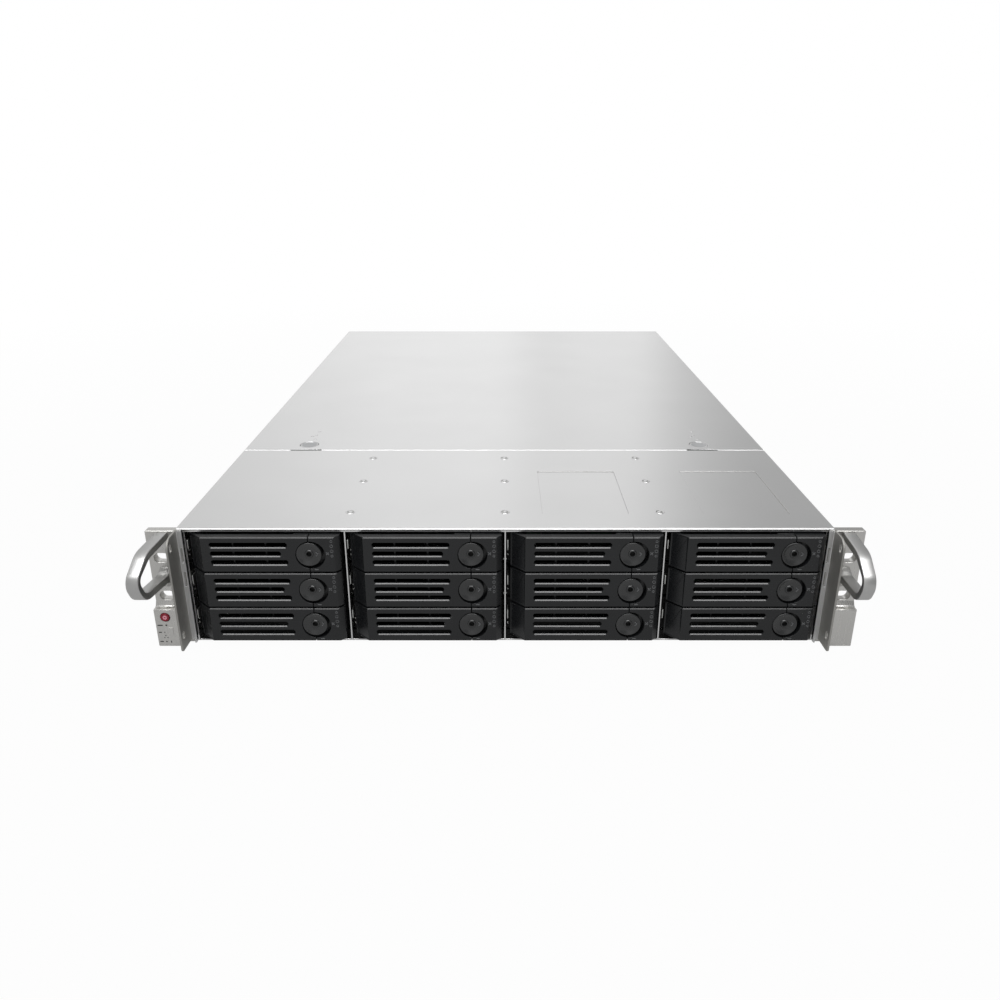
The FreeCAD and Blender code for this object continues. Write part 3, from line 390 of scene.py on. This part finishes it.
def cover_latch(side):
    """Push latch: a bright turned rim round a darker thumb dish."""
    node = "cover_latch_" + side
    low, high = corners(node)
    radius = (high.x - low.x) / 2
    tall = high.z - low.z
    top = Vector(((low.x + high.x) / 2, (low.y + high.y) / 2, high.z))
    bm = bmesh.new()
    turned(bm, [(0, -1.0), (2.6, -0.95), (4.6, -0.7), (6.1, -0.3), (6.4, -0.22), (6.5, -0.04),
                (6.65, 0), (radius - 0.35, 0), (radius - 0.1, -0.1), (radius, -0.35),
                (radius, 0.3 - tall), (radius - 0.3, -tall), (0, -tall)], top, UP, 48)
    for face in bm.faces:
        spot = face.calc_center_median() - top
        face.material_index = int(spot.xy.length < DISH_R and spot.z > -2)
    finish_piece(bm, node + "_button", "latch_" + side, [RUBBED_ZINC, ACETAL],
                 [node])


def latch_dots(side):
    """Small dots pressed up in the lid beside a latch."""
    low, high = corners("cover_latch_" + side)
    middle = (low + high) / 2
    top = corners("rear_cover")[1].z
    bm = bmesh.new()
    for across, back in DOTS:
        turned(bm, DOT, (middle.x + across, middle.y + back, top), UP, 16)
    finish_piece(bm, "latch_dots_" + side, "top_cover", [RUBBED_ZINC])


def bezel_brackets():
    """Dark brackets beside the bays, whose folded strips against the chassis are brighter."""
    low, high = corners("bezel_brackets")
    bm = merged_copy("bezel_brackets")
    near, far = STRIP_X
    for left, right in ((low.x + near, low.x + far), (high.x - far, high.x - near)):
        paint(bm, 1, (left, STRIP_Y[0], low.z - 1), (right, STRIP_Y[1], high.z + 1))
    round_edges(bm, SHEET_EDGE)
    finish_piece(bm, "bezel_bracket_plates", "chassis", [BRACKET_AND_RECESS_SHADE, RUBBED_ZINC],
                 ["bezel_brackets"])


def rear_screws():
    """Pan-head screws with a socket that hold the rear panel."""
    rear = corners("rear_panel")[1].y
    places = [(x, rear, z) for x in PAN_SCREW_X for z in PAN_SCREW_Z]
    turned_heads("rear_panel_screws", PAN_SCREW, places, BACK, 24)


def rail_studs(side):
    """Headed studs on a side wall that hook into a rack rail's keyholes."""
    way = outward(side)
    wall = corners("chassis_base")[1].x
    places = [(way * wall, y, STUD_Z) for y in STUD_Y]
    turned_heads("rail_studs_" + side, STUD, places, (way, 0, 0), 32)


def shade_sheet_under_trays():
    """Black strip on the chassis floor below the lowest trays, put there as painted shade: it closes
    the view in to the bright floor.
    """
    bm = bmesh.new()
    block(bm, *SHADE_SHEET_BOX, rounding=0.3)
    finish_piece(bm, "shade_sheet_under_trays", "chassis", [MATT])


dress("chassis_base", "chassis", ZINC, SHEET_EDGE)
shade_sheet_under_trays()
front_cover()
rear_cover()
rivet_heads()
dress("drive_cage", "chassis", ZINC, CAGE_EDGE)
dress("rear_panel", "chassis", ZINC, PANEL_EDGE)
rear_screws()
rail_studs("left")
rail_studs("right")
bezel_brackets()


# Ears and handles
FLANGE_FACE = 220.5           # outside of an ear's flange, from the middle of the unit
SOCKET_SCREW = [(0, 0.4), (1.3, 0.4), (1.3, 1.3), (2.4, 1.3), (2.8, 1.05), (3.0, 0.6), (3.0, -0.3)]
SOCKET_SCREW_Y = (16.0, 36.0)
SOCKET_SCREW_Z = (16.0, 62.0)
EAR_CORNER_X = 239.0          # where the round lower corner of an ear's plate begins
EAR_CORNER_Z = 3.1
EAR_EDGE = 0.5
HANDLE_EDGE = 0.6
POD_FACE = -6.5
POD_DASHES = ((-240.0, -236.4, 17.8, 0.9), (-239.8, -237.8, 12.3, 0.8),      # left, right,
              (-239.9, -237.5, 5.0, 0.8), (-236.0, -234.8, 5.0, 0.7),        # middle height
              (-232.5, -231.8, 4.8, 1.6))                                    # and thickness
POD_SPOTS = ((-235.4, 9.7), (-236.3, 8.1), (-234.2, 8.1), (-235.8, 12.3))
SPOT = [(0, 0.06), (0.4, 0.06), (0.45, -0.1)]
RESET_RING = [(0.7, -0.2), (0.75, 0.1), (1.0, 0.18), (1.25, 0.1), (1.3, -0.2)]
RESET_X, RESET_Z = -234.0, 17.8
POD_PANEL = (-233.4, -229.6, 9.4, 16.0)     # left, right, underside and top
PALE_RING = (0.58, 1.53)      # from the middle of the power button


def rack_ear(side):
    """Cast ear. The fold where the pod's square corner meets the plate's is too short to round."""
    node = side + "_ear"
    bm = merged_copy(node)

    def short_fold(edge):
        return at(edge, 1, 0) and all(vert.co.z < EAR_CORNER_Z and abs(vert.co.x) > EAR_CORNER_X
                                      for vert in edge.verts)

    round_edges(bm, EAR_EDGE, 2, lambda edge: not short_fold(edge))
    finish_piece(bm, node + "_casting", "chassis", [EAR], [node])


def d_handle(side):
    """Bent aluminium band: smooth round its bends, flat on its two sides."""
    node = side + "_handle"
    bm = merged_copy(node)
    for face in bm.faces:
        face.smooth = abs(face.normal.x) < 0.5
    round_edges(bm, HANDLE_EDGE)
    finish_piece(bm, node + "_band", "chassis", [HANDLE], [node])


def ear_screws(side):
    """Socket screws that hold an ear's flange to the chassis wall."""
    way = outward(side)
    places = [(way * FLANGE_FACE, y, z) for y in SOCKET_SCREW_Y for z in SOCKET_SCREW_Z]
    turned_heads(side + "_ear_screws", SOCKET_SCREW, places, (way, 0, 0), 24)


def pod_marks():
    """Plain printed marks, a reset ring and a raised panel on the face of the left pod."""
    bm = bmesh.new()
    for left, right, z, tall in POD_DASHES:
        block(bm, (left, POD_FACE - 0.05, z - tall / 2), (right, POD_FACE + 0.1, z + tall / 2))
    for x, z in POD_SPOTS:
        turned(bm, SPOT, (x, POD_FACE, z), FORWARD, 16)
    finish_piece(bm, "pod_marks", "chassis", [ENAMEL])
    bm = bmesh.new()
    turned(bm, RESET_RING, (RESET_X, POD_FACE, RESET_Z), FORWARD, 24)
    left, right, under, top = POD_PANEL
    block(bm, (left, POD_FACE - 0.25, under), (right, POD_FACE + 0.3, top), rounding=0.24)
    finish_piece(bm, "pod_reset_ring", "chassis", [EAR])


def power_button():
    """Push cap with a rounded rim, a shallow dish and a paler ring round a dark centre."""
    low, high = corners("power_button")
    deep = high.y - low.y
    centre = front_centre(low, high)
    bm = bmesh.new()
    turned(bm, [(0, 0.16), (0.55, 0.16), (0.6, 0.06), (1.5, 0.06), (1.55, 0.16), (2.2, 0.1),
                (2.55, 0.0), (2.8, 0.08), (2.95, 0.25), (3.0, 0.5), (3.0, deep), (0, deep)],
           centre, BACK, 40)
    for face in bm.faces:
        out = (face.calc_center_median() - centre).length
        face.material_index = int(PALE_RING[0] < out < PALE_RING[1])
    finish_piece(bm, "power_button_cap", "power_key", [RED, PALE_RED],
                 ["power_button"])


for side in ("left", "right"):
    rack_ear(side)
    ear_screws(side)
    d_handle(side)
    cover_latch(side)
    latch_dots(side)
pod_marks()
power_button()


# Bays: across and up, places on a lever, button or tray are measured from its own box
MOULD_EDGE = 0.25             # rounding of a moulded edge
FRAME_Y = (9.9, 12.05)        # the black frame of a tray; its steel rails lie behind
PIN_X, PIN_Y = 8.4, 4.0       # hinge pin
PIN_REACH = 1.05              # a little more than its radius
LUG = 2.7                     # the lugs above and below the bare part of the pin
SLOT_ENDS = (15.6, 67.6)      # the slots' reach from the lever's hinge end
SLOT_MIDDLES = (6.9, 13.25, 19.6)     # above the lever's underside
SLOT_HALF = 1.85
RIB_MIDDLES = (30.5, 52.5)    # the ribs, which are set back behind the slots
RIB_HALF = 0.8
RIB_BACK = 2.2
RIB_SINK = 1.1
LIP_SLOPE = 0.8
LIP_TOP = -0.6                # the lower lip of a slot lies below this, from the slot's middle
SLANT_INSET = 1.2
SLANT_SINK = 0.35
BUTTON_PROFILE = [(0, 2.8), (1.7, 2.8), (1.7, 1.0), (1.85, 0.72), (2.3, 0.64), (2.65, 0.8),
                  (2.95, 1.38), (3.4, 1.4), (4.8, 1.2), (6.2, 0.8), (7.2, 0.35), (7.7, 0.06),
                  (7.95, 0.0), (8.2, 0.05), (8.42, 0.2), (8.5, 0.5), (8.5, 3.3), (8.3, 3.5),
                  (0, 3.5)]
STEM_HALF = 2.5
STEM_Y = 3.4
KEY_HALF = 1.8                # the key hole, inside its collar
KEY_Y = (1.1, 3.0)
POINTER_X, POINTER_Y = 5.4, 0.6       # from the middle of the button
POINTER_BARS = ((45, 0.65), (-45, -0.65))      # tilt and height
BAR_HALF = Vector((1.15, 0, 0.3))
BAR_DEEP = Vector((0, 0.8, 0))
MARK_EDGE = 0.1
CROSS = (Vector((95.2, -0.25, 13.1)), Vector((97.8, 0.2, 13.7)))
DASH = (Vector((87.1, -0.2, 1.3)), Vector((89.7, 0.2, 1.9)))
RINGS_X = 99.4
RINGS = ((22.3, 0.9), (18.9, 1.15), (15.2, 1.15), (11.7, 0.9))       # height and radius
LEAF_X = (0.3, 1.1)
LEAF_Y = (1.5, 10.4)
LEAF_Z = (13.0, 19.5)
BUMP = [(0, 0.6), (0.5, 0.5), (0.8, 0.1), (0.8, -0.2)]
BUMPS_X, BUMPS_Y = 0.9, 10.0
BUMPS_Z = (5.0, 8.5)


def drive_tray(bay):
    """Black moulded front on galvanised rails, with a steel hinge pin."""
    node = "drive_tray_" + bay
    low, high = corners(node)
    bm = merged_copy(node)
    paint(bm, 2, (low.x - 1, FRAME_Y[0], low.z - 1), (high.x + 1, FRAME_Y[1], high.z + 1))
    paint(bm, 1, (low.x - 1, FRAME_Y[1], low.z - 1), high + MARGIN)
    paint(bm, 1, (low.x + PIN_X - PIN_REACH, PIN_Y - PIN_REACH, low.z + LUG),
          (low.x + PIN_X + PIN_REACH, PIN_Y + PIN_REACH, high.z - LUG))
    round_edges(bm, MOULD_EDGE)
    finish_piece(bm, node + "_shell", "tray_" + bay, [TRAY, GALVANISED_AND_GROOVE_SHADE, MATT],
                 [node])


def tray_lever(bay):
    """Lever with vent slots, a lit slope on the lower lip of each and a sunk panel on its slant."""
    node = "tray_lever_" + bay
    low = corners(node)[0]
    bm = merged_copy(node)

    def in_slot(edge, reach):
        spots = [vert.co - low for vert in edge.verts]
        return all(SLOT_ENDS[0] < spot.x < SLOT_ENDS[1] for spot in spots) and any(
            all(-SLOT_HALF < spot.z - middle < reach for spot in spots) for middle in SLOT_MIDDLES)

    ribs = [vert for vert in bm.verts if abs(vert.co.y - low.y - RIB_BACK) < 0.03
            and any(abs(vert.co.x - low.x - rib) < RIB_HALF for rib in RIB_MIDDLES)
            and any(abs(vert.co.z - low.z - middle) < SLOT_HALF for middle in SLOT_MIDDLES)]
    bmesh.ops.translate(bm, vec=(0, RIB_SINK, 0), verts=ribs)
    paint_strips(round_edges(bm, LIP_SLOPE, 1,
                             lambda edge: in_slot(edge, LIP_TOP) and at(edge, 1, low.y)), 1)
    round_edges(bm, MOULD_EDGE, 2, lambda edge: not in_slot(edge, SLOT_HALF))
    slant = max((face for face in bm.faces if face.normal.x < -0.6 and face.normal.y < -0.6),
                key=lambda face: face.calc_area())
    bmesh.ops.inset_individual(bm, faces=[slant], thickness=SLANT_INSET, depth=-SLANT_SINK)
    finish_piece(bm, node + "_bar", "lever_" + bay, [TRAY, BUTTON], [node])


def release_button(bay):
    """Dished button: a soft rim, a collar round the key hole, a small pointer and a square stem."""
    node = "release_button_" + bay
    low, high = corners(node)
    centre = front_centre(low, high)
    bm = bmesh.new()
    turned(bm, BUTTON_PROFILE, centre, BACK, 48)
    block(bm, centre + Vector((-STEM_HALF, STEM_Y, -STEM_HALF)),
          (centre.x + STEM_HALF, high.y, centre.z + STEM_HALF), rounding=0.2)
    paint(bm, 1, centre + Vector((-KEY_HALF, KEY_Y[0], -KEY_HALF)),
          centre + Vector((KEY_HALF, KEY_Y[1], KEY_HALF)))
    made = set(bm.faces)
    for tilt, rise in POINTER_BARS:
        spot = centre + Vector((POINTER_X, POINTER_Y, rise))
        block(bm, spot - BAR_HALF, spot + BAR_HALF + BAR_DEEP, tilt, rounding=0.12)
    # Painted highlight: the pointer's bars are painted paler than the black button
    for face in set(bm.faces) - made:
        face.material_index = 2
    finish_piece(bm, node + "_cap", "button_" + bay, [BUTTON, MATT, MARK_HIGHLIGHT_GREY],
                 [node])


def bezel_marks(bay):
    """Small raised marks beside the button: a cross, a dash below and a column of rings, moulded in
    the tray's black and painted paler as a painted highlight.
    """
    low = corners("drive_tray_" + bay)[0]
    bm = bmesh.new()
    for tilt in (45, -45):
        block(bm, low + CROSS[0], low + CROSS[1], tilt, rounding=MARK_EDGE)
    block(bm, low + DASH[0], low + DASH[1], rounding=MARK_EDGE)
    for rise, radius in RINGS:
        turned(bm, [(radius - 0.4, -0.1), (radius - 0.35, 0.2), (radius - 0.15, 0.3),
                    (radius, 0.2), (radius, -0.1)],
               (low.x + RINGS_X, low.y, low.z + rise), FORWARD, 20)
    finish_piece(bm, "bezel_marks_" + bay, "tray_" + bay, [MARK_HIGHLIGHT_GREY])


def side_spring(bay):
    """Steel leaf at the hinge end of a tray's frame, which earths the tray against the divider."""
    low = corners("drive_tray_" + bay)[0]
    bm = bmesh.new()
    block(bm, (low.x + LEAF_X[0], LEAF_Y[0], low.z + LEAF_Z[0]),
          (low.x + LEAF_X[1], LEAF_Y[1], low.z + LEAF_Z[1]), rounding=0.15)
    for rise in BUMPS_Z:
        turned(bm, BUMP, (low.x + BUMPS_X, BUMPS_Y, low.z + rise), FORWARD, 16)
    finish_piece(bm, "side_spring_" + bay, "tray_" + bay, [GALVANISED_AND_GROOVE_SHADE])


for bay in BAYS:
    drive_tray(bay)
    tray_lever(bay)
    release_button(bay)
    bezel_marks(bay)
    side_spring(bay)


# Inside and rear: here too places are measured from a node's own box
BOARD_EDGE = 0.15
BOARD_BACK = 2.05             # the backplane's board, with its sockets in front
BOARD_Z = (5.95, 8.05)        # the expander's board, between its standoffs and what it carries
PORT_X, PORT_PITCH, PORTS = 25, 30, 4
MOUTH_X = (1.1, 18.9)         # the inside of a port, from the port's left
MOUTH_Z = (9.1, 17.9)
MOUTH_DEEP = 14.1
FAN_SHEET = 1.3               # the fan wall's sheet, with the fan frames behind
ROTOR_EDGE = 0.2
CATCH_EDGE = 0.3
GRIP_REACH = 22               # a supply's grip, behind its rear face
GRIP_X = (36.9, 42.1)
INLET_SIDE = 28               # from the supply's right side to the inlet's left
INLET_Y = (13.1, 0.1)         # inlet and prongs are measured in from the rear face
INLET_Z = (1.9, 21.1)
PRONG_PITCH = 6.75
PRONG_HALF = 1.05
PRONG_Y = (12.9, 0.9)
PRONG_Z = (7.9, 14.1)
LAMP = [(0, 0.7), (0.7, 0.6), (1.1, 0.3), (1.2, -0.2)]
LAMP_INSET = 4.0


def backplane():
    """Green board with black drive sockets."""
    low, high = corners("backplane")
    bm = merged_copy("backplane")
    paint(bm, 1, low - MARGIN, (high.x, high.y - BOARD_BACK, high.z))
    round_edges(bm, BOARD_EDGE)
    finish_piece(bm, "backplane_board", "chassis", [BOARD, FAN], ["backplane"])


def expander_board():
    """Green board with a bright heat sink, standoffs and port cages with black mouths."""
    low, high = corners("expander_board")
    bm = merged_copy("expander_board")
    paint(bm, 1, low - MARGIN, (high.x, high.y, low.z + BOARD_Z[0]))
    paint(bm, 1, (low.x, low.y, low.z + BOARD_Z[1]), high + MARGIN)
    for i in range(PORTS):
        port = low.x + PORT_X + PORT_PITCH * i
        paint(bm, 2, (port + MOUTH_X[0], high.y - MOUTH_DEEP, low.z + MOUTH_Z[0]),
              (port + MOUTH_X[1], high.y - 0.1, low.z + MOUTH_Z[1]))
    round_edges(bm, BOARD_EDGE)
    finish_piece(bm, "expander_board_set", "chassis", [BOARD, ALUMINIUM, FAN],
                 ["expander_board"])


def fan_wall():
    """Zinc sheet that carries three black fan frames."""
    low, high = corners("fan_wall")
    bm = merged_copy("fan_wall")
    paint(bm, 1, low - MARGIN, (high.x + 1, low.y + FAN_SHEET, high.z + 1))
    round_edges(bm, SHEET_EDGE)
    finish_piece(bm, "fan_wall_frames", "chassis", [FAN, ZINC], ["fan_wall"])


def power_supply(number):
    """Galvanised module with a black grip, a black inlet with three pins and a green lamp."""
    node = "psu_" + number
    body = "power_supply_" + number
    low, high = corners(node)
    rear = high.y - GRIP_REACH
    inlet = high.x - INLET_SIDE
    bm = merged_copy(node)
    paint(bm, 1, (low.x + GRIP_X[0], rear + 0.05, low.z), (low.x + GRIP_X[1], high.y + 1, high.z))
    paint(bm, 1, (inlet - 0.1, rear - INLET_Y[0], low.z + INLET_Z[0]),
          (high.x - 1.9, rear - INLET_Y[1], low.z + INLET_Z[1]))
    for share in (1, 2, 3):
        prong = inlet + share * PRONG_PITCH
        paint(bm, 2, (prong - PRONG_HALF, rear - PRONG_Y[0], low.z + PRONG_Z[0]),
              (prong + PRONG_HALF, rear - PRONG_Y[1], low.z + PRONG_Z[1]))
    round_edges(bm, MOULD_EDGE)
    finish_piece(bm, node + "_case", body, [GALVANISED_AND_GROOVE_SHADE, FAN, ALUMINIUM], [node])
    bm = bmesh.new()
    turned(bm, LAMP, (low.x + LAMP_INSET, rear, high.z - LAMP_INSET), BACK, 20)
    finish_piece(bm, node + "_lamp", body, [LENS])


backplane()
expander_board()
fan_wall()
for number in ("1", "2", "3"):
    dress("fan_rotor_" + number, "fan_" + number, FAN, ROTOR_EDGE)
for number in ("1", "2"):
    power_supply(number)
    dress("psu_latch_" + number, "supply_catch_" + number, CATCH, CATCH_EDGE)


# Stage, in metres
WHITE = (1.0, 1.0, 1.0, 1.0)
FILL = 0.35                   # even light on dull surfaces
ROOM = ((0.0, 0.68), (0.2, 0.78), (0.36, 0.92), (0.5, 0.95), (0.55, 0.83), (0.6, 0.87),
        (0.66, 0.88), (0.71, 0.64), (0.78, 0.48), (1.0, 0.42))     # its brightness, left to right
FLOOR_HALF = 40.0
FLOOR_SHINE = 0.27            # how white the floor is in reflections
AIM = (0, 0, 0.05)
CAMERA_MM = (-3.5, -519.4, 316.2)
CAMERA_TILT = 21.8


def studio_world():
    """White behind the object, a soft fill on it, and a pale room for its reflections to see."""
    world = bpy.data.worlds.new("studio")
    world.use_nodes = True
    tree = world.node_tree
    path = add(tree, "ShaderNodeLightPath")
    seen = add(tree, "ShaderNodeMath",
               {0: path.outputs["Is Camera Ray"], 1: path.outputs["Is Transmission Ray"]},
               operation="ADD", use_clamp=True)
    sky = add(tree, "ShaderNodeTexCoord").outputs["Generated"]
    way = add(tree, "ShaderNodeSeparateXYZ", {0: sky})
    across = add(tree, "ShaderNodeMapRange",
                 {"Value": way.outputs["X"], "From Min": -0.5, "From Max": 0.5})
    room = add(tree, "ShaderNodeValToRGB", {"Fac": across.outputs["Result"]})
    ramp = room.color_ramp
    for spot, _ in ROOM[1:-1]:
        ramp.elements.new(spot)
    for element, (spot, grey) in zip(ramp.elements, ROOM):
        element.position = spot
        element.color = (grey, grey, grey, 1.0)
    # The room is a little darker higher up, and darker in front of the unit than behind it
    tall = add(tree, "ShaderNodeMapRange",
               {"Value": way.outputs["Z"], "From Min": 0.2, "From Max": 0.42,
                "To Min": 1.04, "To Max": 0.94})
    front = add(tree, "ShaderNodeMapRange",
                {"Value": way.outputs["Y"], "From Min": -0.3, "From Max": 0.2,
                 "To Min": 0.75, "To Max": 1.0})
    walls = add(tree, "ShaderNodeMath", {0: tall.outputs["Result"], 1: front.outputs["Result"]},
                operation="MULTIPLY")
    shown = add(tree, "ShaderNodeMath", {0: room.outputs["Color"], 1: walls.outputs["Value"]},
                operation="MULTIPLY")
    lit = add(tree, "ShaderNodeMix",
              {0: path.outputs["Is Glossy Ray"], 2: FILL, 3: shown.outputs["Value"]})
    level = add(tree, "ShaderNodeMix", {0: seen.outputs["Value"], 2: lit.outputs[0], 3: 1.0})
    background = tree.nodes["Background"]
    background.inputs["Color"].default_value = WHITE
    tree.links.new(level.outputs[0], background.inputs["Strength"])
    bpy.context.scene.world = world


def pale_floor():
    """A wide white floor that keeps a faint shadow under the object."""
    bm = bmesh.new()
    bmesh.ops.create_grid(bm, x_segments=1, y_segments=1, size=FLOOR_HALF)
    mesh = bpy.data.meshes.new("floor")
    bm.to_mesh(mesh)
    bm.free()
    floor = bpy.data.objects.new("floor", mesh)
    bpy.context.collection.objects.link(floor)
    material, tree, shader, place = start_material("white_paper", "A4A4A4", 0.9, 0.0, 0.0)
    path = add(tree, "ShaderNodeLightPath")
    seen = add(tree, "ShaderNodeMath",
               {0: path.outputs["Is Glossy Ray"], 1: FLOOR_SHINE, 2: path.outputs["Is Camera Ray"]},
               operation="MULTIPLY_ADD", use_clamp=True)
    away = add(tree, "ShaderNodeVectorMath", {0: place}, operation="LENGTH")
    plain = add(tree, "ShaderNodeMapRange",
                {"Value": away.outputs["Value"], "From Min": 0.5, "From Max": 1.6,
                 "To Min": 0.97, "To Max": 1.0})
    share = add(tree, "ShaderNodeMath", {0: seen.outputs["Value"], 1: plain.outputs["Result"]},
                operation="MULTIPLY")
    white = add(tree, "ShaderNodeEmission", {"Color": WHITE, "Strength": 1.0})
    mix = add(tree, "ShaderNodeMixShader",
              {0: share.outputs["Value"], 1: shader.outputs["BSDF"], 2: white.outputs["Emission"]})
    tree.links.new(mix.outputs["Shader"], tree.nodes["Material Output"].inputs["Surface"])
    mesh.materials.append(material)


def soft_box(name, place, width, tall, power, mirrored):
    """A rectangular soft box. One that isn't mirrored lights dull surfaces only, so that it leaves
    no burnt patch on the lid."""
    data = bpy.data.lights.new(name, "AREA")
    data.shape = "RECTANGLE"
    data.size = width
    data.size_y = tall
    data.energy = power
    lamp = bpy.data.objects.new(name, data)
    lamp.location = place
    lamp.visible_camera = False
    lamp.visible_glossy = mirrored
    lamp.rotation_euler = (Vector(AIM) - Vector(place)).to_track_quat("-Z", "Y").to_euler()
    bpy.context.collection.objects.link(lamp)


def photo_camera():
    """The photograph's view: nearly square on, from above, with a short lens."""
    data = bpy.data.cameras.new("camera")
    data.sensor_width = 36.0
    data.lens = 30.6
    camera = bpy.data.objects.new("camera", data)
    camera.location = Vector(CAMERA_MM) * MM
    camera.rotation_euler = (math.radians(90 - CAMERA_TILT), 0, 0)
    bpy.context.collection.objects.link(camera)
    bpy.context.scene.camera = camera


studio_world()
pale_floor()
soft_box("overhead", (0.0, -0.85, 2.0), width=2.6, tall=0.9, power=36, mirrored=True)
soft_box("front", (-0.3, -2.3, 1.35), width=3.6, tall=2.2, power=25, mirrored=False)
photo_camera()
bpy.context.scene.view_settings.view_transform = "Standard"
